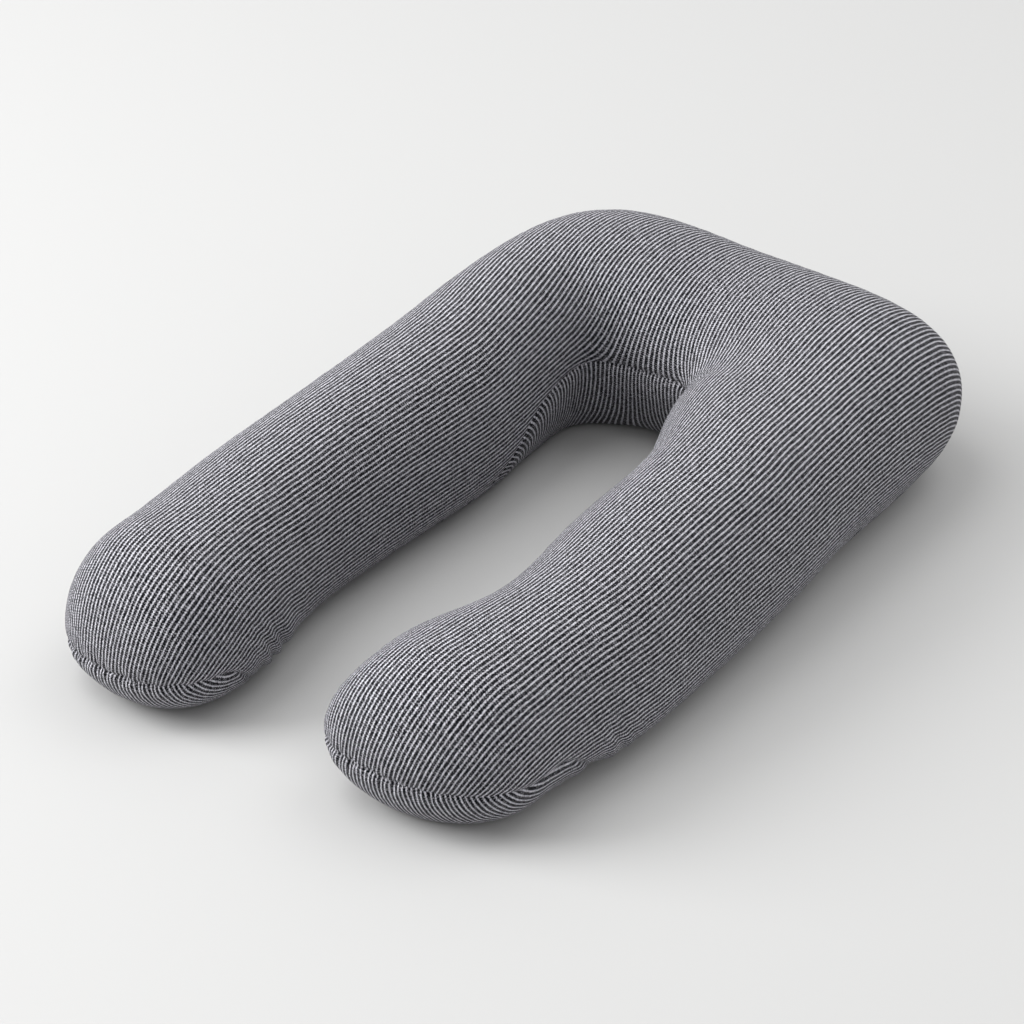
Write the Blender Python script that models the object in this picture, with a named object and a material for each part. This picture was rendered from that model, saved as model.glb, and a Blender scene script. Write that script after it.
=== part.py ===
"""A U-shaped body pillow, lying flat.

The cover is two mirrored U-shaped panels, a top and a bottom one, sewn together right round the edge and
turned. Filled, it is one soft solid: two round legs, uneven as hand-stuffed ones are, that run into a wide
crossbar over two full corners. The seam is the drawn-in line that follows both sides and crosses both leg
ends, where the cloth is gathered in short puckers.

Metres, +Z up. The legs point to -Y and the crossbar lies at +Y. The origin is in the middle of the pillow's
box, on the surface that it lies on.
"""

import math
from collections import namedtuple

import bmesh
import bpy

# A row describes the leg at one distance along it. inner and outer are how far its two edges lie from the
# pillow's middle line, crown is its top, and the two seam columns are the heights of the seam on each edge.
Row = namedtuple("Row", "y inner outer crown seam_in seam_out")
# end_y is the foremost point of the leg, and end_lean how far that point lies towards the other leg. The two
# powers say how square the bend is, on its inner and its outer edge: 2 is round, and more is squarer.
# corner_rise is how far the filled corner stands above the line from the leg's crown to the crossbar's.
Leg = namedtuple("Leg", "side end_y end_lean notch_power corner_power corner_rise rows")

LEFT_LEG = Leg(-1, -0.692, 0.001, 3.37, 3.56, 0.011, (
    Row(-0.533, 0.127, 0.437, 0.256, 0.087, 0.073),
    Row(-0.331, 0.164, 0.437, 0.264, 0.086, 0.082),
    Row(-0.125, 0.159, 0.430, 0.277, 0.087, 0.093),
    Row(0.080, 0.145, 0.423, 0.294, 0.097, 0.100),
    Row(0.286, 0.153, 0.414, 0.315, 0.153, 0.101),
))
RIGHT_LEG = Leg(1, -0.656, 0.058, 1.8, 5.63, 0.008, (
    Row(-0.507, 0.065, 0.378, 0.244, 0.099, 0.086),
    Row(-0.314, 0.117, 0.407, 0.249, 0.093, 0.078),
    Row(-0.114, 0.109, 0.415, 0.268, 0.096, 0.091),
    Row(0.086, 0.108, 0.415, 0.282, 0.112, 0.110),
    Row(0.286, 0.051, 0.408, 0.281, 0.133, 0.130),
))

# The crossbar. Its sections fan out from a point between the legs, at BEND_Y on the middle line.
BEND_Y = LEFT_LEG.rows[-1].y
BAR_BACK_Y = 0.683
NOTCH_END_Y = 0.349
BAR_CROWN = 0.297
BAR_SEAM_IN = 0.157
BAR_SEAM_OUT = 0.138

# The section of the filled tube.
TOP_POWER = 2.26
UNDER_POWER = 1.88
UNDER_SWELL = 1.30      # the underside's depth against the seam height, before the floor presses it flat
FLOOR_ROUNDING = 0.006  # how softly the flat underside turns up into the sides
END_POWER = 2.57        # superellipse power of a leg's end, seen from above
END_DOME_POWER = 2.12   # and seen from the side

# The seam and its gathers.
SEAM_DRAWN_IN = 0.006
SEAM_VALLEY = 0.016     # half the height of the valley that the seam pulls in
PUCKER_DEPTH = 0.004
PUCKER_PITCH = 0.050
PUCKER_REACH = 0.040    # how far a pucker runs up or down from the seam
PUCKER_FADE_Y = 0.17    # and how far from a leg's end the gathers die out

# How finely the solid is cut.
RINGS_END = 16
RINGS_LEG = 25
RINGS_BEND = 23
POINTS_ROUND = 44
SEAM_CROWDING = 0.2     # moves the points of a ring towards the seam

CLOTH_COLOUR = (0.26, 0.26, 0.29, 1.0)
CLOTH_ROUGHNESS = 0.92

# One section: the plan points of the seam on both edges, both seam heights, the crown, and how far the
# section has opened up, from 0 at a leg's very end to 1.
Section = namedtuple("Section", "inner outer seam_in seam_out crown opened")


def through(rows, column, y):
    """The value of one column at y, on a smooth curve through the rows that is level at both ends."""
    values = [getattr(row, column) for row in rows]
    spans = zip(rows, rows[1:])
    here = next((i for i, (a, b) in enumerate(spans) if y <= b.y), len(rows) - 2)
    t = (y - rows[here].y) / (rows[here + 1].y - rows[here].y)
    before = values[here - 1] if here > 0 else values[here + 1]
    after = values[here + 2] if here + 2 < len(values) else values[here]
    start, end = values[here], values[here + 1]
    start_slope, end_slope = (end - before) / 2, (after - start) / 2
    return (
        (2 * t**3 - 3 * t**2 + 1) * start
        + (t**3 - 2 * t**2 + t) * start_slope
        + (3 * t**2 - 2 * t**3) * end
        + (t**3 - t**2) * end_slope
    )


def leg_section(leg, y):
    """The section across the leg at y."""
    at = {name: through(leg.rows, name, y) for name in Row._fields[1:]}
    inner, outer = (leg.side * at["inner"], y), (leg.side * at["outer"], y)
    return Section(inner, outer, at["seam_in"], at["seam_out"], at["crown"], 1.0)


def end_section(leg, turn):
    """A section of the leg's round end: turn is 0 at the foremost point and pi/2 where the leg is full."""
    full = leg_section(leg, leg.rows[0].y)
    reach = leg.rows[0].y - leg.end_y
    forward = math.cos(turn)
    spread = (1 - forward**END_POWER) ** (1 / END_POWER)
    opened = (1 - forward**END_DOME_POWER) ** (1 / END_DOME_POWER)
    y = leg.rows[0].y - reach * forward
    middle = (full.inner[0] + full.outer[0]) / 2 - leg.side * leg.end_lean * forward**2
    half = (full.outer[0] - full.inner[0]) / 2 * spread
    return full._replace(inner=(middle - half, y), outer=(middle + half, y), opened=opened)


def bend_section(leg, angle):
    """A section of the bend: angle is 0 across the leg and pi/2 along the middle line."""
    row = leg.rows[-1]
    across, back = math.cos(angle), math.sin(angle)

    def edge(half_width, depth, power):
        radius = ((across / half_width) ** power + (back / depth) ** power) ** (-1 / power)
        return leg.side * radius * across, BEND_Y + radius * back

    share = back**2
    corner = leg.corner_rise * math.sin(2 * angle) ** 2
    return Section(
        edge(row.inner, NOTCH_END_Y - BEND_Y, leg.notch_power),
        edge(row.outer, BAR_BACK_Y - BEND_Y, leg.corner_power),
        row.seam_in + (BAR_SEAM_IN - row.seam_in) * share,
        row.seam_out + (BAR_SEAM_OUT - row.seam_out) * share,
        row.crown + (BAR_CROWN - row.crown) * share + corner,
        1.0,
    )


def leg_sections(leg):
    """Every section of one half, from the leg's foremost point to just before the crossbar's middle."""
    quarter = math.pi / 2
    rows = leg.rows
    step_y = (rows[-1].y - rows[0].y) / RINGS_LEG
    end = [end_section(leg, quarter * i / RINGS_END) for i in range(RINGS_END)]
    straight = [leg_section(leg, rows[0].y + step_y * i) for i in range(RINGS_LEG)]
    bend = [bend_section(leg, quarter * i / RINGS_BEND) for i in range(RINGS_BEND)]
    return end + straight + bend


def middle_section():
    """The crossbar's section on the middle line, where the two halves meet."""
    meeting = bend_section(LEFT_LEG, math.pi / 2)
    return meeting._replace(inner=(0.0, NOTCH_END_Y), outer=(0.0, BAR_BACK_Y))


def ring_angles():
    """Angles round a section, crowded towards the seam at 0 and pi."""
    even = [2 * math.pi * i / POINTS_ROUND for i in range(POINTS_ROUND)]
    return [a - SEAM_CROWDING * math.sin(2 * a) for a in even]


def signed_power(value, power):
    return math.copysign(abs(value) ** power, value)


def ring_point(section, angle):
    """A point of the section: angle is 0 at the outer seam, pi/2 at the crown and pi at the inner seam."""
    power = TOP_POWER if math.sin(angle) >= 0 else UNDER_POWER
    across = signed_power(math.cos(angle), 2 / power)
    height = signed_power(math.sin(angle), 2 / power) * section.opened
    share = (1 + across) / 2
    seam = section.seam_in + (section.seam_out - section.seam_in) * share
    z = seam + height * ((section.crown - seam) if height > 0 else seam * UNDER_SWELL)
    x, y = (i + (o - i) * share for i, o in zip(section.inner, section.outer))
    return (x, y, z), z - seam


def lofted_skin(sections):
    """A closed mesh through the sections, and for each point its height above the seam.

    The first and the last section are a single point each, where the corners of a face fall together.
    """
    mesh = bmesh.new()
    above_seam = {}
    rings = []
    for section in sections:
        ring = []
        for angle in ring_angles():
            place, above = ring_point(section, angle)
            ring.append(mesh.verts.new(place))
            above_seam[ring[-1]] = above
            if section.opened == 0:
                break
        rings.append(ring)
    for ring, following in zip(rings, rings[1:]):
        for i in range(POINTS_ROUND):
            j = (i + 1) % POINTS_ROUND
            corners = (ring[i % len(ring)], ring[j % len(ring)],
                       following[j % len(following)], following[i % len(following)])
            mesh.faces.new(list(dict.fromkeys(corners)))
    bmesh.ops.recalc_face_normals(mesh, faces=mesh.faces)
    return mesh, above_seam


def gathers(point):
    """How strongly the cloth is gathered here: 1 at a leg's end, 0 well away from it."""
    leg = LEFT_LEG if point.x < 0 else RIGHT_LEG
    away = (point.y - leg.end_y) / PUCKER_FADE_Y
    return max(0.0, 1 - away**2)


def rest_on_floor(z):
    """The height that the floor leaves a point: flat below it, with a soft turn up into the sides."""
    if abs(z) > FLOOR_ROUNDING:
        return max(z, 0.0)
    return (z + FLOOR_ROUNDING) ** 2 / (4 * FLOOR_ROUNDING)


def draw_in_seam(mesh, above_seam):
    """Pulls the seam into a valley, gathers the cloth beside it, and presses the underside flat."""
    mesh.normal_update()
    moves = {}
    for point, above in above_seam.items():
        valley = SEAM_DRAWN_IN * math.exp(-((above / SEAM_VALLEY) ** 2))
        ripple = 0.5 - 0.5 * math.cos(2 * math.pi * point.co.x / PUCKER_PITCH)
        pucker = PUCKER_DEPTH * ripple * math.exp(-((above / PUCKER_REACH) ** 2))
        moves[point] = point.normal * -(valley + pucker * gathers(point.co))
    for point, move in moves.items():
        point.co += move
        point.co.z = rest_on_floor(point.co.z)


def centre_on_floor(mesh):
    """Moves the solid so that the middle of its box is over the origin."""
    for axis in (0, 1):
        places = [point.co[axis] for point in mesh.verts]
        middle = (min(places) + max(places)) / 2
        for point in mesh.verts:
            point.co[axis] -= middle


def cloth_material():
    material = bpy.data.materials.new("striped_cloth")
    material.use_nodes = True
    shader = material.node_tree.nodes["Principled BSDF"]
    shader.inputs["Base Color"].default_value = CLOTH_COLOUR
    shader.inputs["Roughness"].default_value = CLOTH_ROUGHNESS
    shader.inputs["Metallic"].default_value = 0.0
    return material


def make_pillow(collection):
    """The filled pillow, as one solid."""
    left, right = leg_sections(LEFT_LEG), leg_sections(RIGHT_LEG)
    skin, above_seam = lofted_skin(left + [middle_section()] + right[::-1])
    draw_in_seam(skin, above_seam)
    centre_on_floor(skin)
    data = bpy.data.meshes.new("pillow")
    skin.to_mesh(data)
    skin.free()
    data.shade_smooth()
    data.materials.append(cloth_material())
    pillow = bpy.data.objects.new("pillow", data)
    collection.objects.link(pillow)
    return pillow


def main():
    for item in list(bpy.context.scene.objects):
        bpy.data.objects.remove(item)
    collection = bpy.data.collections.new("body_pillow")
    bpy.context.scene.collection.children.link(collection)
    make_pillow(collection)


main()
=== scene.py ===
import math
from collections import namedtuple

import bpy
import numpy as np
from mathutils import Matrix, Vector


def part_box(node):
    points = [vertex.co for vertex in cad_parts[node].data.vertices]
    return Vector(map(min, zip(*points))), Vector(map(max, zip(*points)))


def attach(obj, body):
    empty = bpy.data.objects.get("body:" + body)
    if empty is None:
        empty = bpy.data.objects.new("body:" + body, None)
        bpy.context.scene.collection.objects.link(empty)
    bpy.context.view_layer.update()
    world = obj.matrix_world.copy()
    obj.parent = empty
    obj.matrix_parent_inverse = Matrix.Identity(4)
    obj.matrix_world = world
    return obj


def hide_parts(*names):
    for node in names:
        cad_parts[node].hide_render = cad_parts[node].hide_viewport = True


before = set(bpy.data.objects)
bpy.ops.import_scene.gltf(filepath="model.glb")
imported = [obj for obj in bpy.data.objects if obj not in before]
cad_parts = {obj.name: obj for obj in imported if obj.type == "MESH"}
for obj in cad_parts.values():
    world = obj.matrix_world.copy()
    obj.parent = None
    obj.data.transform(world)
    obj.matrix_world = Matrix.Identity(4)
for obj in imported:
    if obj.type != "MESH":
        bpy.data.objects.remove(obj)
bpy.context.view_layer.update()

# %% [markdown]
# # A striped body pillow
#
# This is a U-shaped pillow, about 1.4 m long, lying flat. Its cover is two U-shaped panels of a soft striped
# knit, a top and a bottom one, sewn together round the edge, turned and stuffed. The frame that was just
# loaded holds the plain solid that the pillow is tested with. Everything below dresses that solid: the cloth
# skin, its stripes, its seam, and the folds and puckers beside the seam.

# %% [markdown]
# ## The form
#
# A stuffed leg is a round tube, but no two places along it are alike, and the bend is a fan of sections that
# opens out of the gap between the legs. A loft says this best: a short table holds the sizes at a few
# places, a smooth curve runs through them, and each section is a superellipse, which is a circle whose
# shoulders can be fuller. The top and the underside each have a fullness of their own, because the floor
# presses the underside flat.
#
# A row of the table is the leg at one y. `inner` and `outer` are how far its edges lie from the pillow's
# middle line, `crown` is its top, and `seam_in` and `seam_out` are the heights of its widest line on either
# edge. `end_y` is the leg's foremost point, and `end_lean` is how far that point lies towards the other leg.
# The two powers say how square the bend is on its inner and its outer edge: 2 is round, more is squarer.
# `corner_rise` is how far the full corner stands above the line from the leg's crown to the crossbar's.

# %% Sizes of the two legs
Row = namedtuple("Row", "y inner outer crown seam_in seam_out")
Leg = namedtuple("Leg", "side end_y end_lean notch_power corner_power corner_rise rows")

LEFT_LEG = Leg(-1, -0.692, 0.001, 3.37, 3.56, 0.011, (
    Row(-0.533, 0.127, 0.437, 0.256, 0.087, 0.073),
    Row(-0.331, 0.164, 0.437, 0.264, 0.086, 0.082),
    Row(-0.125, 0.159, 0.430, 0.277, 0.087, 0.093),
    Row(0.080, 0.145, 0.423, 0.294, 0.097, 0.100),
    Row(0.286, 0.153, 0.414, 0.315, 0.153, 0.101),
))
RIGHT_LEG = Leg(1, -0.656, 0.058, 1.8, 5.63, 0.008, (
    Row(-0.507, 0.065, 0.378, 0.244, 0.099, 0.086),
    Row(-0.314, 0.117, 0.407, 0.249, 0.093, 0.078),
    Row(-0.114, 0.109, 0.415, 0.268, 0.096, 0.091),
    Row(0.086, 0.108, 0.415, 0.282, 0.112, 0.110),
    Row(0.286, 0.051, 0.408, 0.281, 0.133, 0.130),
))
lengths = [round(leg.rows[-1].y - leg.end_y, 3) for leg in (LEFT_LEG, RIGHT_LEG)]
print("from the bend to the end of either leg:", lengths, "m")

# %% Sizes of the crossbar and of a section
BEND_Y = LEFT_LEG.rows[-1].y  # the bend's sections fan out from here, on the middle line
BAR_BACK_Y = 0.683
NOTCH_END_Y = 0.349
BAR_CROWN = 0.297
BAR_SEAM_IN = 0.157
BAR_SEAM_OUT = 0.138
TOP_POWER = 2.26
UNDER_POWER = 1.88
UNDER_SWELL = 1.30  # the underside's depth over the widest line's height, before the floor flattens it
FLOOR_ROUNDING = 0.006  # how softly the flat underside turns up into the sides
END_POWER = 2.57  # the power of a leg's round end, seen from above
END_DOME_POWER = 2.12  # and seen from the side
print("the crossbar's depth:", round(BAR_BACK_Y - NOTCH_END_Y, 3), "m")

# %% A smooth curve through a table's column
def through(rows, column, y):
    """The value of one column at y, on a smooth curve through the rows that is level at both ends."""
    values = [getattr(row, column) for row in rows]
    spans = zip(rows, rows[1:])
    here = next((i for i, (a, b) in enumerate(spans) if y <= b.y), len(rows) - 2)
    t = (y - rows[here].y) / (rows[here + 1].y - rows[here].y)
    before = values[here - 1] if here > 0 else values[here + 1]
    after = values[here + 2] if here + 2 < len(values) else values[here]
    start, end = values[here], values[here + 1]
    start_slope, end_slope = (end - before) / 2, (after - start) / 2
    return (
        (2 * t**3 - 3 * t**2 + 1) * start
        + (t**3 - 2 * t**2 + t) * start_slope
        + (3 * t**2 - 2 * t**3) * end
        + (t**3 - t**2) * end_slope
    )


print("the left leg's crown halfway:", round(through(LEFT_LEG.rows, "crown", -0.13), 3), "m")

# %% [markdown]
# ## Sections of the pillow
#
# A section is a flat cut through the stuffed tube. Along a leg it lies straight across. Round the leg's end
# the sections stay parallel and shrink like the slices of a loaf, until the last one has no width. Round the
# bend they turn like the sticks of a fan. The legs differ, so each half of the pillow comes from its own
# table, and the halves meet in one section on the middle line.

# %% Sections along a leg and round its end
Section = namedtuple("Section", "inner outer seam_in seam_out crown opened")


def leg_section(leg, y):
    """The section across the leg at y."""
    at = {name: through(leg.rows, name, y) for name in Row._fields[1:]}
    inner, outer = (leg.side * at["inner"], y), (leg.side * at["outer"], y)
    return Section(inner, outer, at["seam_in"], at["seam_out"], at["crown"], 1.0)


def end_section(leg, turn):
    """A section of the leg's round end: turn is 0 at the foremost point and pi/2 where the leg is full."""
    full = leg_section(leg, leg.rows[0].y)
    reach = leg.rows[0].y - leg.end_y
    forward = math.cos(turn)
    spread = (1 - forward**END_POWER) ** (1 / END_POWER)
    opened = (1 - forward**END_DOME_POWER) ** (1 / END_DOME_POWER)
    y = leg.rows[0].y - reach * forward
    middle = (full.inner[0] + full.outer[0]) / 2 - leg.side * leg.end_lean * forward**2
    half = (full.outer[0] - full.inner[0]) / 2 * spread
    # The heights of the two edges come together, so that they meet in the foremost point.
    meeting = (full.seam_in + full.seam_out) / 2
    seam_in, seam_out = (meeting + (seam - meeting) * spread for seam in (full.seam_in, full.seam_out))
    return Section((middle - half, y), (middle + half, y), seam_in, seam_out, full.crown, opened)


print("halfway round the left end:", end_section(LEFT_LEG, math.pi / 4))

# %% Sections round the bend
def bend_section(leg, angle):
    """A section of the bend: angle is 0 across the leg and pi/2 along the middle line."""
    row = leg.rows[-1]
    across, back = math.cos(angle), math.sin(angle)

    def edge(half_width, depth, power):
        radius = ((across / half_width) ** power + (back / depth) ** power) ** (-1 / power)
        return leg.side * radius * across, BEND_Y + radius * back

    share = back**2
    corner = leg.corner_rise * math.sin(2 * angle) ** 2
    return Section(
        edge(row.inner, NOTCH_END_Y - BEND_Y, leg.notch_power),
        edge(row.outer, BAR_BACK_Y - BEND_Y, leg.corner_power),
        row.seam_in + (BAR_SEAM_IN - row.seam_in) * share,
        row.seam_out + (BAR_SEAM_OUT - row.seam_out) * share,
        row.crown + (BAR_CROWN - row.crown) * share + corner,
        1.0,
    )


print("halfway round the left corner:", bend_section(LEFT_LEG, math.pi / 4))

# %% Every section, from one leg's end round to the other's
RINGS_END = 44
RINGS_LEG = 80
RINGS_BEND = 56
END_CROWDING = 1.3  # above 1, the sections crowd towards the foremost point


def half_sections(leg):
    """One half, from the leg's foremost point to just before the crossbar's middle."""
    quarter = math.pi / 2
    rows = leg.rows
    step_y = (rows[-1].y - rows[0].y) / RINGS_LEG
    end = [end_section(leg, quarter * (i / RINGS_END) ** END_CROWDING) for i in range(RINGS_END)]
    straight = [leg_section(leg, rows[0].y + step_y * i) for i in range(RINGS_LEG)]
    bend = [bend_section(leg, quarter * i / RINGS_BEND) for i in range(RINGS_BEND)]
    return end + straight + bend


def pillow_sections():
    """All sections, with the one on the middle line where the halves meet."""
    meeting = bend_section(LEFT_LEG, math.pi / 2)
    middle = meeting._replace(inner=(0.0, NOTCH_END_Y), outer=(0.0, BAR_BACK_Y))
    return half_sections(LEFT_LEG) + [middle] + half_sections(RIGHT_LEG)[::-1]


SECTIONS = pillow_sections()
print(len(SECTIONS), "sections")

# %% [markdown]
# ## One ring of points
#
# The seam splits a section into a top and an underside. Points are spread by their distance along the cloth,
# not by angle, and they crowd towards the seam, because that is where cloth bends sharply. Point 0 is on the
# outer seam and the point halfway round is on the inner one, so the seam always runs through the same two
# columns.
#
# Nobody sews a seam to lie exactly on the widest line. At the leg ends and at the closed end of the gap it
# does lie there. Along the legs and round the back it has rolled under by about a hand's breadth. So the
# outline is drawn first, without a thought for the seam, and the points are then counted off along it from
# wherever the seam is.

# %% The outline of a section
OUTLINE_POINTS = 400


def rest_on_floor(z):
    """The height that the floor leaves: flat below it, with a soft turn up into the sides."""
    turned_up = (z + FLOOR_ROUNDING) ** 2 / (4 * FLOOR_ROUNDING)
    return np.where(np.abs(z) > FLOOR_ROUNDING, np.maximum(z, 0.0), turned_up)


def outline(section, top):
    """A fine line over the crown or under the belly, from the outer widest point to the inner one."""
    angle = np.linspace(0, math.pi, OUTLINE_POINTS)
    power = TOP_POWER if top else UNDER_POWER
    across = np.sign(np.cos(angle)) * np.abs(np.cos(angle)) ** (2 / power)
    rise = np.sin(angle).clip(0) ** (2 / power) * section.opened
    share = (1 + across) / 2
    seam = section.seam_in + (section.seam_out - section.seam_in) * share
    z = seam + rise * (section.crown - seam) if top else seam - rise * seam * UNDER_SWELL
    inner, outer = np.array(section.inner), np.array(section.outer)
    plan = inner + (outer - inner) * share[:, None]
    return np.column_stack([plan, rest_on_floor(z)])


print("a full section rises to:", round(outline(SECTIONS[RINGS_END], top=True)[:, 2].max(), 3), "m")

# %% Where the seam is tucked under
INNER_TUCK = 0.075
OUTER_TUCK = 0.085
LEFT_TUCKS_Y = (-0.60, -0.50)  # the seam goes under between these two places
RIGHT_TUCKS_Y = (-0.47, -0.35)
INNER_RISES_Y = (0.02, 0.20)  # and the inner one comes up again between these


def fade(value, low, high):
    """0 up to low, 1 from high, and a smooth rise between them."""
    t = np.clip((value - low) / (high - low), 0, 1)
    return t * t * (3 - 2 * t)


def tucks(section):
    """How far the inner and the outer seam lie below the widest points, along the cloth."""
    goes_under = LEFT_TUCKS_Y if section.outer[0] < 0 else RIGHT_TUCKS_Y
    inner = fade(section.inner[1], *goes_under) * (1 - fade(section.inner[1], *INNER_RISES_Y))
    return INNER_TUCK * inner, OUTER_TUCK * fade(section.outer[1], *goes_under)


print("tucks of the middle section:", [round(float(tuck), 3) for tuck in tucks(SECTIONS[len(SECTIONS) // 2])])

# %% Points of a ring
POINTS_HALF = 32
CROWDING = 0.7  # 0 spreads the points evenly, and near 1 they crowd at the seam


def ring(section):
    """One full ring: over the crown to the inner seam, and back under the belly to the outer one."""
    loop = np.concatenate([outline(section, top=True), outline(section, top=False)[::-1]])
    steps = np.linalg.norm(np.diff(loop, axis=0), axis=1)
    walked = np.concatenate([[0], np.cumsum(steps)])
    inner_tuck, outer_tuck = tucks(section)
    inner_seam = walked[len(loop) // 2] + inner_tuck
    step = np.arange(POINTS_HALF) / POINTS_HALF
    crowded = step - CROWDING * np.sin(2 * math.pi * step) / (2 * math.pi)
    over = crowded * (inner_seam + outer_tuck) - outer_tuck
    under = inner_seam + crowded * (walked[-1] - outer_tuck - inner_seam)
    wanted = np.concatenate([np.where(over < 0, over + walked[-1], over), under])
    return np.column_stack([np.interp(wanted, walked, loop[:, i]) for i in range(3)])


RINGS = np.array([ring(section) for section in SECTIONS])
print("rings, points in each, axes:", RINGS.shape)

# %% [markdown]
# ## How far it is to the seam
#
# Thread pulls a seam in, and the cloth gathers beside it. All of this fades with the distance from the seam,
# so each point is given that distance here. It also gets the direction that leaves the surface, which the
# flat pattern needs. Here and below, a very small number inside maximum or clip only keeps a length of
# nothing from being divided by.

# %% Directions and distances
STRAIGHT_AHEAD = (0, -1, 0)


def outward(rings):
    """A unit vector for each point that leaves the surface. A leg's foremost point faces straight ahead."""
    along = np.gradient(rings, axis=0)
    around = np.roll(rings, -1, axis=1) - np.roll(rings, 1, axis=1)
    normal = np.cross(around, along)
    normal = normal / np.maximum(np.linalg.norm(normal, axis=2, keepdims=True), 1e-9)
    normal[[0, -1]] = STRAIGHT_AHEAD
    return normal


def seam_distance(rings):
    """How far each point lies from the seam, along its ring."""
    step = np.linalg.norm(np.roll(rings, -1, axis=1) - rings, axis=2)
    distance = np.zeros(rings.shape[:2])
    for start in (0, POINTS_HALF):
        part = step[:, start:start + POINTS_HALF]
        walked = np.concatenate([np.zeros((len(rings), 1)), np.cumsum(part, axis=1)], axis=1)
        both = np.minimum(walked, walked[:, -1:] - walked)
        distance[:, start:start + POINTS_HALF] = both[:, :-1]
    return distance


DISTANCE = seam_distance(RINGS)
OUTWARD = outward(RINGS)
print("outward on top of the bar:", OUTWARD[len(RINGS) // 2, POINTS_HALF // 2].round(2))

# %% [markdown]
# ## Laying the panels flat
#
# Stripes are straight on the bolt, and they bend on the pillow because its panels were flat when they were
# cut. So the pattern isn't laid on the pillow from outside. Each point gets the place in metres where it was
# on the flat cloth. Blender's own unwrapping would roll the U out into a straight strip, because that
# stretches least, but a cutter cuts a U. So each step of the grid is first turned down flat the shortest way,
# without a twist, and then all points are placed so that they fit these turned steps as well as they can.

# %% The cloth's own directions
LEAST_CLOSENESS = 0.2  # a normal that points the other way has no shortest turn, so it stops short of that


def flat_axes(normals, up):
    """The directions in which the flat panel's x and y run at each point of the stuffed one."""
    upright = np.array([0.0, 0.0, up])
    closeness = np.maximum(1 + normals @ upright, LEAST_CLOSENESS)[..., None]
    return [axis - (normals + upright) * (normals @ axis)[..., None] / closeness for axis in np.eye(3)[:2]]


def between(values, axis):
    """The mean of each two neighbours of a grid."""
    return (np.delete(values, 0, axis) + np.delete(values, -1, axis)) / 2


def padded_along(grid, axis, before, after, mode="constant"):
    """The grid with this many more rows before and after, along one axis."""
    widths = [(0, 0), (0, 0)]
    widths[axis] = (before, after)
    return np.pad(grid, widths, mode=mode)


print("a step between 1 and 3 lies at:", between(np.array([[1.0], [3.0]]), 0)[0, 0])

# %% The weight of each step
def cloth_widths(points):
    """For each step of the grid, the width of cloth that it stands for, over its length."""
    lengths = [np.linalg.norm(np.diff(points, axis=axis), axis=2) for axis in (0, 1)]
    spacing = [between(padded_along(length, axis, 1, 1, "edge"), axis) for axis, length in enumerate(lengths)]
    return [between(spacing[1 - axis], axis) / lengths[axis].clip(1e-5) for axis in (0, 1)]


def gather_ends(steps, weights):
    """Gives each weighted step to its two ends: added where it arrives and taken off where it starts."""
    parts = []
    for axis, (step, weight) in enumerate(zip(steps, weights)):
        pull = step * weight
        parts.append(padded_along(pull, axis, 1, 0) - padded_along(pull, axis, 0, 1))
    return sum(parts)


print("the most that one step weighs:", round(max(width.max() for width in cloth_widths(RINGS[1:-1])), 1))

# %% Fit all points to the turned steps
FIT_ROUNDS = 1200
CLOSE_ENOUGH = 1e-14


def fit_to_steps(steps, weights, start):
    """Values on a grid whose steps are as near as can be to the given ones, by conjugate gradients."""
    value = start.copy()

    def pulled(grid):
        return gather_ends([np.diff(grid, axis=axis) for axis in (0, 1)], weights)

    left_over = gather_ends(steps, weights) - pulled(value)
    direction, size = left_over, (left_over**2).sum()
    for _ in range(FIT_ROUNDS):
        answer = pulled(direction)
        stride = size / (direction * answer).sum()
        value = value + stride * direction
        left_over = left_over - stride * answer
        last_size, size = size, (left_over**2).sum()
        if size < CLOSE_ENOUGH:
            break
        direction = left_over + direction * (size / last_size)
    return value + start.mean() - value.mean()


def lay_flat(points, axes, care):
    """Where each point of a panel was on the flat cloth, in metres."""
    weights = [width * between(care, axis) for axis, width in enumerate(cloth_widths(points))]
    flat = []
    for axis_number, cloth_axis in enumerate(axes):
        steps = [(np.diff(points, axis=a) * between(cloth_axis, a)).sum(axis=2) for a in (0, 1)]
        flat.append(fit_to_steps(steps, weights, points[..., axis_number]))
    return np.stack(flat, axis=2)


# %% [markdown]
# ## Stripes of one width
#
# A round form can't be laid flat without stretching it somewhere, and a stretched fit shows wide stripes
# beside narrow ones. A soft knit gives way so evenly that its stripes keep nearly one width. So they are
# fitted again, a few times over: their direction stays, and the distance across them is brought back to one
# metre a metre.

# %% Evening the stripes out
def unit(vectors):
    """Each vector at a length of one."""
    return vectors / np.maximum(np.linalg.norm(vectors, axis=-1, keepdims=True), 1e-9)


def slope(points, value):
    """How steeply, and which way along the surface, a value rises at each point of a grid."""
    along, around = np.gradient(points, axis=0), np.gradient(points, axis=1)
    along_size, around_size = (along * along).sum(axis=2), (around * around).sum(axis=2)
    mixed = (along * around).sum(axis=2)
    rise_along, rise_around = np.gradient(value, axis=0), np.gradient(value, axis=1)
    spread = np.maximum(along_size * around_size - mixed**2, 1e-14)
    along_share = (around_size * rise_along - mixed * rise_around) / spread
    around_share = (along_size * rise_around - mixed * rise_along) / spread
    return along_share[..., None] * along + around_share[..., None] * around


x_slope = np.linalg.norm(slope(RINGS[1:-1], RINGS[1:-1, :, 0]), axis=2)
print("x rises along the skin by at most:", x_slope.max().round(2))


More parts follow.
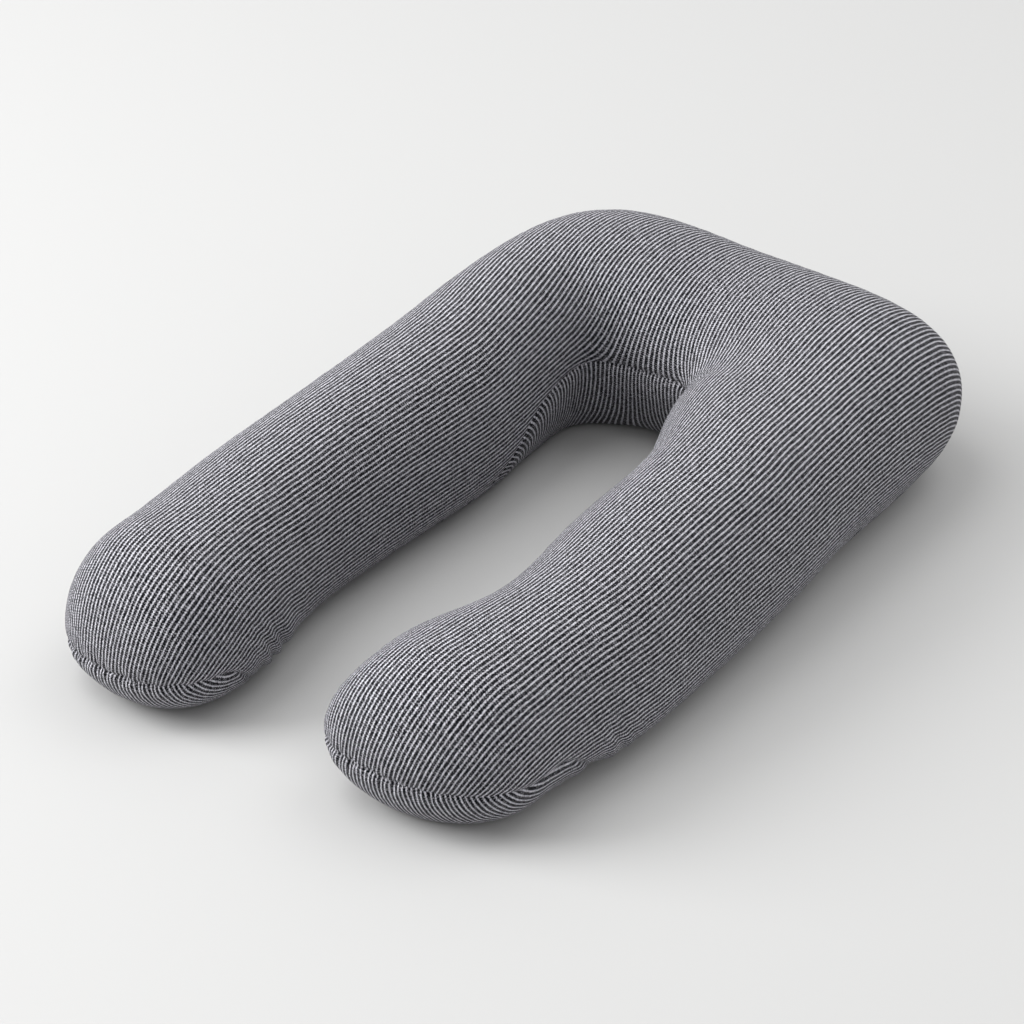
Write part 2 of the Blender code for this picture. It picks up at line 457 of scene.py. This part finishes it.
def even_out(points, value, flat_x, held, care, rounds):
    """Brings a value nearer to rising by one metre a metre. Where held is 1, it rises along flat_x."""
    weights = [width * between(care, axis) for axis, width in enumerate(cloth_widths(points))]
    for _ in range(rounds):
        rise = slope(points, value)
        steepness = np.linalg.norm(rise, axis=2, keepdims=True).clip(1e-6)
        towards = unit(rise / steepness * (1 - held) + flat_x * held)
        rise = towards * steepness**held
        steps = [(np.diff(points, axis=a) * between(rise, a)).sum(axis=2) for a in (0, 1)]
        value = fit_to_steps(steps, weights, value)
    return value


# %% [markdown]
# ## Turning the cloth
#
# A sewer eases the top panel round each leg's tip and into the corners of the gap, and so turns its stripes
# a little from where a plain fit would lay them. A table says by how many degrees at a few places, seen from
# above, and every other point takes a mean of the turns near it. A turn fades within a hand's breadth.

# %% The turns of the top panel
Turn = namedtuple("Turn", "x y degrees")
TURNS = (
    Turn(-0.37, -0.58, 2), Turn(-0.27, -0.62, -23), Turn(-0.17, -0.58, 23),
    Turn(-0.34, -0.36, 4), Turn(-0.18, -0.38, -4),
    Turn(-0.33, -0.10, -3), Turn(-0.18, -0.08, -7), Turn(-0.20, 0.20, 9),
    Turn(-0.27, 0.42, -15), Turn(-0.14, 0.37, 28), Turn(-0.05, 0.40, -28),
    Turn(0.05, 0.40, 18), Turn(0.25, 0.50, 6), Turn(0.30, 0.20, 8),
    Turn(0.35, -0.10, -1), Turn(0.15, -0.12, -2),
    Turn(0.32, -0.38, -13), Turn(0.17, -0.40, -1),
    Turn(0.11, -0.58, -17), Turn(0.22, -0.62, -20), Turn(0.32, -0.55, 1),
)
TURN_REACH = 0.08
TURN_ELSEWHERE = 0.2  # how much no turn at all weighs, against a turn at its own place


def turned(points, normals, direction):
    """A direction along the cloth, turned as the nearest places of the table say."""
    degrees, share = 0, TURN_ELSEWHERE
    for turn in TURNS:
        away = (points[..., 0] - turn.x) ** 2 + (points[..., 1] - turn.y) ** 2
        near = np.exp(-away / (2 * TURN_REACH**2))
        degrees, share = degrees + near * turn.degrees, share + near
    angle = np.radians(degrees / share)[..., None]
    return direction * np.cos(angle) + np.cross(normals, direction) * np.sin(angle)


print(len(TURNS), "turns, the sharpest", max(abs(turn.degrees) for turn in TURNS), "degrees")

# %% [markdown]
# ## The two panels
#
# Not every part of the fit matters as much. At the closed end of the gap the cloth is seen from close by and
# bends both ways, so the fit takes more care there. Under the pillow nobody sees it, so it takes little, and
# whatever stretch is left over goes there. `held` says how firmly the stripes keep their direction while
# they are evened out.

# %% Where the fit takes care
BEND_FROM_Y = (0.08, 0.15)
WALL_REACH = (0.13, 0.30)
FACES_FLOOR = (0.5, 0.9)
CARE_IN_BEND = 8
CARE_ON_FLOOR = 0.05
HELD_IN_BEND = 0.5
HELD_ELSEWHERE = 0.3
EVEN_ROUNDS = 6


def from_inner_seam(points):
    """How far each point of a panel lies from the inner seam, along its ring."""
    steps = np.linalg.norm(np.diff(points, axis=1), axis=2)
    return np.column_stack([np.zeros(len(points)), steps.cumsum(axis=1)])


def inside_bend(points):
    """0 along the legs and 1 at the closed end of the gap between them, near the inner seam."""
    past_legs = fade(points[:, :1, 1], *BEND_FROM_Y) * np.ones(points.shape[1])
    return past_legs * (1 - fade(from_inner_seam(points), *WALL_REACH))


print("points of the top inside the bend:", int((inside_bend(RINGS[:, POINTS_HALF::-1]) > 0.5).sum()))

# %% Laying both panels
POINTS = 2 * POINTS_HALF
TOP_COLUMNS = np.arange(0, POINTS_HALF + 1)[::-1]
UNDER_COLUMNS = np.arange(POINTS_HALF, POINTS + 1) % POINTS


def lay_panel(columns, up):
    """The flat places of a panel whose columns go from the inner seam to the outer one."""
    points, normals = RINGS[:, columns], OUTWARD[:, columns]
    near_bend = inside_bend(points)
    care = 1 + CARE_IN_BEND * near_bend
    care *= CARE_ON_FLOOR ** fade(-normals[..., 2], *FACES_FLOOR)
    near_bend = near_bend[..., None]
    flat_x = flat_axes(normals, up)[0]
    if up > 0:
        flat_x = turned(points, normals, flat_x)
    else:
        flat_x = unit(flat_x * (1 - near_bend) + unit(np.gradient(points, axis=0)) * near_bend)
    flat = lay_flat(points, (flat_x, np.cross(normals, flat_x) * up), care)
    held = HELD_ELSEWHERE + (HELD_IN_BEND - HELD_ELSEWHERE) * near_bend
    flat[..., 0] = even_out(points, flat[..., 0], flat_x, held, care, EVEN_ROUNDS)
    rise = np.linalg.norm(slope(points, flat[..., 0]), axis=2)
    print("the stripes' width, over what it should be:", (1 / np.percentile(rise, (99, 50, 1))).round(2))
    return flat


TOP_FLAT = lay_panel(TOP_COLUMNS, up=1)[:, ::-1]
UNDER_FLAT = lay_panel(UNDER_COLUMNS, up=-1)
panel_size = np.ptp(TOP_FLAT.reshape(-1, 2), axis=0)
print("the flat top panel:", panel_size.round(2), "m")

# %% [markdown]
# ## The skin
#
# Thread shortens the edge of both panels, so the cloth comes down to the seam over soft shoulders. They are
# wide enough for this grid, unlike the narrow valley of the seam itself, which comes later. The skin is then
# moved over the middle of the solid and made into one closed mesh. Its places on the flat cloth go into a UV
# map. That map may jump at the seam, because it belongs to the corners of faces and not to the points.

# %% Soft shoulders beside the seam
SHOULDER_DRAWN_IN = 0.0025
SHOULDER_VALLEY = 0.016

drawn = SHOULDER_DRAWN_IN * np.exp(-(DISTANCE / SHOULDER_VALLEY) ** 2)
RINGS = RINGS - OUTWARD * drawn[..., None]
RINGS[..., 2] = RINGS[..., 2].clip(0)
print("the shoulders come in by up to", round(drawn.max() * 1000, 1), "mm")

# %% Over the solid
low, high = (Vector(corner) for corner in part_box("pillow"))
middle = (low + high) / 2
RINGS[..., 0] += middle.x - (RINGS[..., 0].min() + RINGS[..., 0].max()) / 2
RINGS[..., 1] += middle.y - (RINGS[..., 1].min() + RINGS[..., 1].max()) / 2
print("the skin's size:", np.ptp(RINGS.reshape(-1, 3), axis=0).round(3), "m")

# %% Numbers and flat places of the points
LAST_RING = len(RINGS) - 1


def vertex_number(ring_index, point_index):
    """The number of a vertex: the first and the last ring are one point each."""
    if ring_index == 0:
        return 0
    if ring_index == LAST_RING:
        return 1 + (LAST_RING - 1) * POINTS
    return 1 + (ring_index - 1) * POINTS + point_index % POINTS


def flat_place(ring_index, point_index, on_top):
    """A point's place on the flat cloth. On a seam it depends on the panel."""
    if on_top:
        return TOP_FLAT[ring_index, point_index]
    return UNDER_FLAT[ring_index, point_index - POINTS_HALF]


def per_vertex(grid):
    """A grid of ring points as one row for each vertex."""
    return np.concatenate([grid[:1, 0], grid[1:-1].reshape(-1, *grid.shape[2:]), grid[-1:, 0]])


print("the last vertex has the number", vertex_number(LAST_RING, 0))

# %% The skin as a mesh
def make_skin():
    """The closed cloth skin of the pillow, with its UV map in metres of flat cloth."""
    faces, flats = [], []
    for i in range(LAST_RING):
        for j in range(POINTS):
            corners = {}
            for place in ((i, j), (i, j + 1), (i + 1, j + 1), (i + 1, j)):
                corners[vertex_number(*place)] = flat_place(*place, j < POINTS_HALF)
            faces.append(list(corners))
            flats.extend(corners.values())
    data = bpy.data.meshes.new("pillow_cover")
    data.from_pydata(per_vertex(RINGS).tolist(), [], faces)
    cloth_map = data.uv_layers.new(name="cloth")
    cloth_map.uv.foreach_set("vector", np.array(flats, dtype=np.float32).ravel())
    skin = bpy.data.objects.new("pillow_cover", data)
    bpy.context.scene.collection.objects.link(skin)
    return skin


cover = make_skin()
print("points:", len(cover.data.vertices), " faces:", len(cover.data.polygons))

# %% [markdown]
# ## Stuffing it
#
# Where a panel is eased round the tip of a leg it has more cloth than the seam has room for, and the stuffing
# pushes that cloth up into small folds. Nobody places such folds by hand as well as cloth does by itself, so
# a copy of the skin is blown up a little in the cloth simulation, with 12 % too much cloth beside the seam at
# the tips. The rest of the skin is held where it is, because its form is known. A perfectly even skin
# wouldn't know which way to fold, so each point starts a fraction of a millimetre off. At the very tip, where
# all columns of the grid meet in one point, the skin is held and stays smooth.

# %% Sizes of the stuffing
STUFFING_PRESSURE = 4
LAST_FRAME = 20
EXTRA_CLOTH = 0.12
GATHER_REACH = 0.03
TIP_REACH = 0.16
LOOSE_REACH = 0.05
FOREMOST_REACH = 0.035
HELD = 0.4
HELD_AT_TIPS = 0.03
STRETCH_STIFFNESS = 15
SHEAR_STIFFNESS = 5
BENDING_STIFFNESS = 0.05
ROUGHNESS = 0.0004
ROUGHNESS_SEED = 4
FURTHEST_MOVE = 0.008
print("a point may move by up to", FURTHEST_MOVE * 1000, "mm")

# %% Numbers of the mesh as arrays, and back
def places_of(data):
    """Where the points of a mesh are, one row for each."""
    places = np.empty(len(data.vertices) * 3)
    data.vertices.foreach_get("co", places)
    return places.reshape(-1, 3)


def put_places(data, places):
    """Moves the points of a mesh to these places, and none of them below the floor."""
    places[:, 2] = places[:, 2].clip(0)
    data.vertices.foreach_set("co", places.ravel())
    data.update()


print("the middle of all points:", places_of(cover.data).mean(axis=0).round(3))

# %% How near the tips each point is
FROM_SEAM = per_vertex(DISTANCE)
FOREMOST = RINGS[[0, -1], 0]


def near_tips(places, reach):
    """1 at the foremost point of each leg and 0 past this reach, with a steep fall between."""
    away = np.linalg.norm(places[:, None] - FOREMOST, axis=2).min(axis=1)
    return np.exp(-(away / reach) ** 4)


NOT_FOREMOST = 1 - near_tips(places_of(cover.data), FOREMOST_REACH)
print("points near a tip:", int((near_tips(places_of(cover.data), TIP_REACH) > 0.5).sum()))

# %% Cloth that is full of stuffing
def weigh(thing, name, weights):
    """Adds a vertex group with a weight for each point, and gives back its name."""
    group = thing.vertex_groups.new(name=name)
    for number, weight in enumerate(weights):
        group.add([number], float(weight), "REPLACE")
    return name


def start_cloth(trial):
    """Makes a skin into cloth that is full of stuffing."""
    tips = near_tips(places_of(trial.data), TIP_REACH)
    loose = np.exp(-(FROM_SEAM / LOOSE_REACH) ** 2) * tips * NOT_FOREMOST
    gathered = np.exp(-(FROM_SEAM / GATHER_REACH) ** 2) * tips
    settings = trial.modifiers.new("cloth", "CLOTH").settings
    settings.tension_stiffness = STRETCH_STIFFNESS
    settings.compression_stiffness = STRETCH_STIFFNESS
    settings.shear_stiffness = SHEAR_STIFFNESS
    settings.bending_stiffness = BENDING_STIFFNESS
    settings.use_pressure = True
    settings.uniform_pressure_force = STUFFING_PRESSURE
    settings.effector_weights.gravity = 0
    settings.vertex_group_mass = weigh(trial, "held", HELD + (HELD_AT_TIPS - HELD) * loose)
    settings.vertex_group_shrink = weigh(trial, "gathered", gathered)
    settings.shrink_max = -EXTRA_CLOTH


# %% The simulation
def stuffed(skin):
    """The places that the skin's points take when it is stuffed."""
    trial = bpy.data.objects.new("stuffing_trial", skin.data.copy())
    bpy.context.scene.collection.objects.link(trial)
    start_cloth(trial)
    before = places_of(skin.data)
    bumps = np.random.default_rng(ROUGHNESS_SEED).normal(0, ROUGHNESS, len(before)) * NOT_FOREMOST
    put_places(trial.data, before + per_vertex(OUTWARD) * bumps[:, None])
    for frame_number in range(1, LAST_FRAME + 1):
        bpy.context.scene.frame_set(frame_number)
    after = places_of(trial.evaluated_get(bpy.context.evaluated_depsgraph_get()).data)
    bpy.data.objects.remove(trial)
    bpy.context.scene.frame_set(1)
    move = after - before
    length = np.linalg.norm(move, axis=1, keepdims=True).clip(1e-9)
    print("the cloth moved up to", round(length.max() * 1000, 1), "mm")
    return before + move * FURTHEST_MOVE * np.tanh(length / FURTHEST_MOVE) / length


put_places(cover.data, stuffed(cover))

# %% [markdown]
# ## The seam, its puckers and the crumples
#
# The seam lies in a narrow valley. Beside it, at the tips, the thread has bunched the cloth into low puckers
# about 25 mm apart, which run away from the seam and soon die out. Low down, where a leg's side draws in
# behind its full end, the cloth has too much room and crumples into slanting waves. All of them are finer
# than the grid so far, so it is subdivided once, which also rounds the folds, and then the points are moved
# along their normals. Waves that wander a little look sewn, while even ones look like a corrugated sheet.

# %% One subdivision
def subdivide(thing):
    """Halves the grid. The flat pattern and the distance from the seam are halved with it."""
    thing.data.attributes.new("from_seam", "FLOAT", "POINT").data.foreach_set("value", FROM_SEAM)
    finer = thing.modifiers.new("finer", "SUBSURF")
    finer.levels = finer.render_levels = 1
    depsgraph = bpy.context.evaluated_depsgraph_get()
    data = bpy.data.meshes.new_from_object(
        thing.evaluated_get(depsgraph), preserve_all_data_layers=True, depsgraph=depsgraph)
    thing.modifiers.remove(finer)
    thing.data = data


subdivide(cover)
print("faces now:", len(cover.data.polygons))

# %% The crumples
Crumple = namedtuple("Crumple", "x y z reach depth")
CRUMPLES = (
    Crumple(-0.145, -0.47, 0.07, 0.05, 0.0034),
    Crumple(0.385, -0.37, 0.05, 0.045, 0.0022),
)
CRUMPLE_SPACING = 0.042
CRUMPLE_SLANT = 0.6
CRUMPLE_WANDER = 0.012
WANDER_ALONG_Y = 43  # in radians for each metre, as the next two
WANDER_ALONG_Z = 31


def crumpled(places):
    """How deep each point lies in the crumples where a leg is pushed in."""
    bent = CRUMPLE_WANDER * np.sin(places[:, 1] * WANDER_ALONG_Y + places[:, 2] * WANDER_ALONG_Z)
    wave = np.sin(2 * math.pi * (places[:, 1] + CRUMPLE_SLANT * places[:, 2] + bent) / CRUMPLE_SPACING)
    depth = np.zeros(len(places))
    for crumple in CRUMPLES:
        away = ((places - np.array(crumple[:3])) ** 2).sum(axis=1)
        depth += crumple.depth * np.exp(-away / (2 * crumple.reach**2))
    return wave * depth


print("the deepest crumple:", round(np.abs(crumpled(places_of(cover.data))).max() * 1000, 1), "mm")

# %% The puckers and the seam's valley
SEAM_DRAWN_IN = 0.0035
SEAM_VALLEY = 0.005
PUCKER_SPACING = 0.025
PUCKER_DEPTH = 0.0018
PUCKER_REACH = 0.028
PUCKERS_TO = 0.14
PUCKER_WANDER = 0.004
WANDER_ALONG_X = 90
PUCKER_SLANT = 0.2


def puckered(places, from_seam):
    """How deep each point lies in the puckers beside the seam."""
    across = places[:, 0] + PUCKER_WANDER * np.sin(places[:, 0] * WANDER_ALONG_X) + PUCKER_SLANT * from_seam
    pucker = np.sin(2 * math.pi * across / PUCKER_SPACING) * PUCKER_DEPTH
    return pucker * (np.exp(-(from_seam / PUCKER_REACH) ** 2) * near_tips(places, PUCKERS_TO))


def sew(data):
    """Draws the seam in, with puckers beside it at the tips and crumples further back."""
    places = places_of(data)
    normals = np.empty(places.size)
    data.vertices.foreach_get("normal", normals)
    from_seam = np.empty(len(places))
    data.attributes["from_seam"].data.foreach_get("value", from_seam)
    valley = SEAM_DRAWN_IN * np.exp(-(from_seam / SEAM_VALLEY) ** 2)
    drawn_in = valley + puckered(places, from_seam) + crumpled(places)
    put_places(data, places - normals.reshape(-1, 3) * drawn_in[:, None])
    data.attributes.remove(data.attributes["from_seam"])


sew(cover.data)
cover.data.shade_smooth()
print("highest point:", round(places_of(cover.data)[:, 2].max(), 3), "m")

# %% [markdown]
# ## The striped knit
#
# The cloth is a fine rib knit. Charcoal and light stripes run with the grain. The light ones take up a little
# over a third of the width and stand a little proud. Each stripe is a column of small V-shaped stitches, and
# the yarn is heathered, so no two loops have quite the same shade. All of it is worked out from the place on
# the flat cloth, in metres, so the stripes turn with the cloth, meet in chevrons at the seam and keep their
# width on every side of the pillow.

# %% Sizes and shades of the knit
STRIPE_PITCH = 0.0075
LIGHT_EDGE = (0.26, 0.37)  # from charcoal to light, when 0 is a charcoal middle and 0.5 a light one
RIB_EDGE = (0.10, 0.42)  # and from the rib's foot to its top
RIB_HEIGHT = 0.0007
STITCH_LENGTH = 0.0037
STITCH_SLANT = 2.0
STITCH_SHADE = 0.4
LOOP_WIDTH = 0.0018
LOOP_LENGTH = 0.0018
LOOP_DENT = 0.6
LOOP_FRAY = 0.0003
GRAIN = 0.7
GRAIN_MIDDLE = 0.70
FLUFF_SIZE = 0.004
FLUFF_FRAY = 0.0008
FLUFF_SHADE = 0.8
FLUFF_DARKEST = 0.6
STRIPE_WANDER = 0.003
STRIPE_WANDER_SIZE = 0.05
LIGHT_YARN = (0.45, 0.445, 0.485, 1.0)
DARK_YARN = (0.003, 0.003, 0.005, 1.0)
print("stripes across the flat panel:", round(panel_size[0] / STRIPE_PITCH))

# %% Short ways to write a node tree
def node(tree, kind, **settings):
    """Adds a node. A setting named after an input sets or links it, and any other sets the node itself."""
    new = tree.nodes.new(kind)
    for name, value in settings.items():
        if hasattr(new, name):
            setattr(new, name, value)
            continue
        socket = new.inputs[int(name[1:])] if name[0] == "_" else new.inputs[name.replace("_", " ")]
        if isinstance(value, bpy.types.NodeSocket):
            tree.links.new(value, socket)
        else:
            socket.default_value = value
    return new


def calculate(tree, operation, *values):
    """A Math node's result."""
    inputs = {f"_{place}": value for place, value in enumerate(values)}
    return node(tree, "ShaderNodeMath", operation=operation, **inputs).outputs[0]


def smooth_step(tree, value, low, high):
    """0 up to low, 1 from high, and a smooth rise between them."""
    ramp = node(tree, "ShaderNodeMapRange", interpolation_type="SMOOTHSTEP",
                Value=value, From_Min=low, From_Max=high)
    return ramp.outputs["Result"]


def noise(tree, place, size):
    """Noise with lumps of about this size in metres, from 0 to 1."""
    return node(tree, "ShaderNodeTexNoise", Vector=place, Scale=1 / size, Detail=2.0).outputs["Fac"]


# %% Loops of yarn and the stripes' own places
def loops(tree, flat):
    """The loops as small cells. Gives each one's own shade, and the distance to its middle."""
    in_a_metre = (1 / LOOP_WIDTH, 1 / LOOP_LENGTH, 0)
    cells = node(tree, "ShaderNodeVectorMath", operation="MULTIPLY", _0=flat, _1=in_a_metre)
    place = cells.outputs["Vector"]
    loop = node(tree, "ShaderNodeTexVoronoi", voronoi_dimensions="2D", Scale=1.0, Vector=place)
    own_shade = node(tree, "ShaderNodeSeparateColor", Color=loop.outputs["Color"]).outputs["Red"]
    return own_shade, loop.outputs["Distance"]


def across_stripes(tree, flat, flat_x, own_shade, fluff):
    """The place across the cloth, counted in stripes. It wanders a little and frays at each loop."""
    wandering = calculate(tree, "MULTIPLY_ADD", noise(tree, flat, STRIPE_WANDER_SIZE), STRIPE_WANDER, flat_x)
    fluffy = calculate(tree, "MULTIPLY_ADD", fluff, FLUFF_FRAY, wandering)
    frayed = calculate(tree, "MULTIPLY_ADD", own_shade, LOOP_FRAY, fluffy)
    return calculate(tree, "DIVIDE", frayed, STRIPE_PITCH)


# %% Stitches and their shade
def stitches(tree, across, flat_y, fluff):
    """Light and dark by turns along each stripe, as a V. Every stripe starts its stitches elsewhere."""
    column = calculate(tree, "PINGPONG", calculate(tree, "ADD", across, 0.25), 0.25)
    stripe_number = calculate(tree, "ROUND", across)
    start = node(tree, "ShaderNodeTexWhiteNoise", noise_dimensions="1D", W=stripe_number).outputs["Value"]
    along = calculate(tree, "MULTIPLY_ADD", flat_y, 1 / STITCH_LENGTH, start)
    slanted = calculate(tree, "MULTIPLY_ADD", column, STITCH_SLANT, calculate(tree, "ADD", along, fluff))
    return calculate(tree, "SINE", calculate(tree, "MULTIPLY", slanted, 2 * math.pi))


def yarn_colour(tree, light, stitch, own_shade, fluff):
    """The colour between dark and light yarn that the stripe, the stitch and the loop add up to."""
    flecks = calculate(tree, "MULTIPLY_ADD", own_shade, GRAIN, -GRAIN_MIDDLE * GRAIN)
    shade = calculate(tree, "MULTIPLY_ADD", stitch, STITCH_SHADE, calculate(tree, "ADD", light, flecks))
    amount = calculate(tree, "MAXIMUM", shade, 0.0)
    yarn = node(tree, "ShaderNodeMix", data_type="RGBA", clamp_factor=False, Factor=amount)
    yarn.inputs[6].default_value = DARK_YARN
    yarn.inputs[7].default_value = LIGHT_YARN
    depth = calculate(tree, "MULTIPLY_ADD", fluff, FLUFF_SHADE, FLUFF_DARKEST)
    shaded = node(tree, "ShaderNodeVectorMath", operation="SCALE", _0=yarn.outputs[2], Scale=depth)
    return shaded.outputs["Vector"]


# %% The knit itself
def knit_material():
    """The striped rib knit, laid by the UV map of the flat cloth."""
    material = bpy.data.materials.new("striped_knit")
    material.use_nodes = True
    tree = material.node_tree
    flat = node(tree, "ShaderNodeUVMap", uv_map="cloth").outputs["UV"]
    parts = node(tree, "ShaderNodeSeparateXYZ", Vector=flat).outputs
    own_shade, from_middle = loops(tree, flat)
    fluff = noise(tree, flat, FLUFF_SIZE)
    across = across_stripes(tree, flat, parts["X"], own_shade, fluff)
    to_light = calculate(tree, "PINGPONG", across, 0.5)
    stitch = stitches(tree, across, parts["Y"], fluff)
    colour = yarn_colour(tree, smooth_step(tree, to_light, *LIGHT_EDGE), stitch, own_shade, fluff)
    height = calculate(tree, "MULTIPLY_ADD", from_middle, -LOOP_DENT, smooth_step(tree, to_light, *RIB_EDGE))
    bump = node(tree, "ShaderNodeBump", Strength=1.0, Distance=RIB_HEIGHT, Height=height)
    shader = tree.nodes["Principled BSDF"]
    tree.links.new(colour, shader.inputs["Base Color"])
    tree.links.new(bump.outputs["Normal"], shader.inputs["Normal"])
    shader.inputs["Roughness"].default_value = 0.9
    shader.inputs["Specular IOR Level"].default_value = 0.12
    shader.inputs["Sheen Weight"].default_value = 0.06
    shader.inputs["Sheen Roughness"].default_value = 0.5
    return material


cover.data.materials.append(knit_material())
print("nodes in the knit:", len(cover.data.materials[0].node_tree.nodes))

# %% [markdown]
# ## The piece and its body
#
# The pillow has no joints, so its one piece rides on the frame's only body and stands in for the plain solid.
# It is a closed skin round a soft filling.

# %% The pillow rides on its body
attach(cover, "root")
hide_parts("pillow")
print("declared:", cover.name)

# %% [markdown]
# ## Floor, camera and light
#
# The pillow lies on a plain pale floor, which is one large plane, so that its far edge never shows. A long
# lens from a few metres away keeps the near leg from looking swollen. The light is that of a bright room:
# one large soft lamp low on the left like a window, a weaker one from above, a faint one opposite that keeps
# the shadows open, and an even white world that fills them.

# %% The floor
FLOOR_SIZE = 40
FLOOR_COLOUR = (0.487, 0.487, 0.484, 1.0)


def plain_floor():
    """A plane of one pale colour."""
    material = bpy.data.materials.new("pale_floor")
    material.use_nodes = True
    shader = material.node_tree.nodes["Principled BSDF"]
    shader.inputs["Base Color"].default_value = FLOOR_COLOUR
    shader.inputs["Roughness"].default_value = 0.7
    bpy.ops.mesh.primitive_plane_add(size=FLOOR_SIZE)
    floor = bpy.context.object
    floor.name = "floor"
    floor.data.materials.append(material)
    return floor


plain_floor()
print("the floor is", FLOOR_SIZE, "m wide")

# %% Camera
VIEW_BEARING = -53.31
VIEW_HEIGHT = 34.41
VIEW_DISTANCE = 5.043
LOOKS_AT = Vector((-0.0322, -0.0257, 0.0977))
LENS_MM = 114.7


def direction(bearing, height):
    """A direction given in degrees: round from +X, and up from the floor."""
    bearing, height = math.radians(bearing), math.radians(height)
    flat = math.cos(height)
    return Vector((math.cos(bearing) * flat, math.sin(bearing) * flat, math.sin(height)))


def aim(thing, place, target):
    """Puts a lamp or camera at a place, looking at the target."""
    thing.location = place
    thing.rotation_euler = (Vector(target) - Vector(place)).to_track_quat("-Z", "Y").to_euler()


camera = bpy.data.objects.new("camera", bpy.data.cameras.new("camera"))
bpy.context.scene.collection.objects.link(camera)
camera.data.lens = LENS_MM
aim(camera, LOOKS_AT + direction(VIEW_BEARING, VIEW_HEIGHT) * VIEW_DISTANCE, LOOKS_AT)
bpy.context.scene.camera = camera
print("the camera stands at:", [round(value, 2) for value in camera.location])

# %% Light
LAMP_SIZE = 5.0
LAMP_DISTANCE = 8.0
LAMPS_LOOK_AT = (0, 0, 0.1)
ROOM_LIGHT = 0.79


def soft_lamp(name, bearing, height, power):
    """A round softbox in this direction."""
    data = bpy.data.lights.new(name, "AREA")
    data.shape = "DISK"
    data.size = LAMP_SIZE
    data.energy = power
    lamp = bpy.data.objects.new(name, data)
    bpy.context.scene.collection.objects.link(lamp)
    aim(lamp, direction(bearing, height) * LAMP_DISTANCE, LAMPS_LOOK_AT)


soft_lamp("window", 214, 31, 650)
soft_lamp("ceiling", 205, 68, 225)
soft_lamp("far wall", 60, 60, 110)
world = bpy.data.worlds.new("room")
bpy.context.scene.world = world
world.use_nodes = True
world.node_tree.nodes["Background"].inputs["Color"].default_value = (1.0, 1.0, 1.0, 1.0)
world.node_tree.nodes["Background"].inputs["Strength"].default_value = ROOM_LIGHT
bpy.context.scene.view_settings.view_transform = "Standard"
print("power of the lamps:", [round(lamp.energy) for lamp in bpy.data.lights], "W")
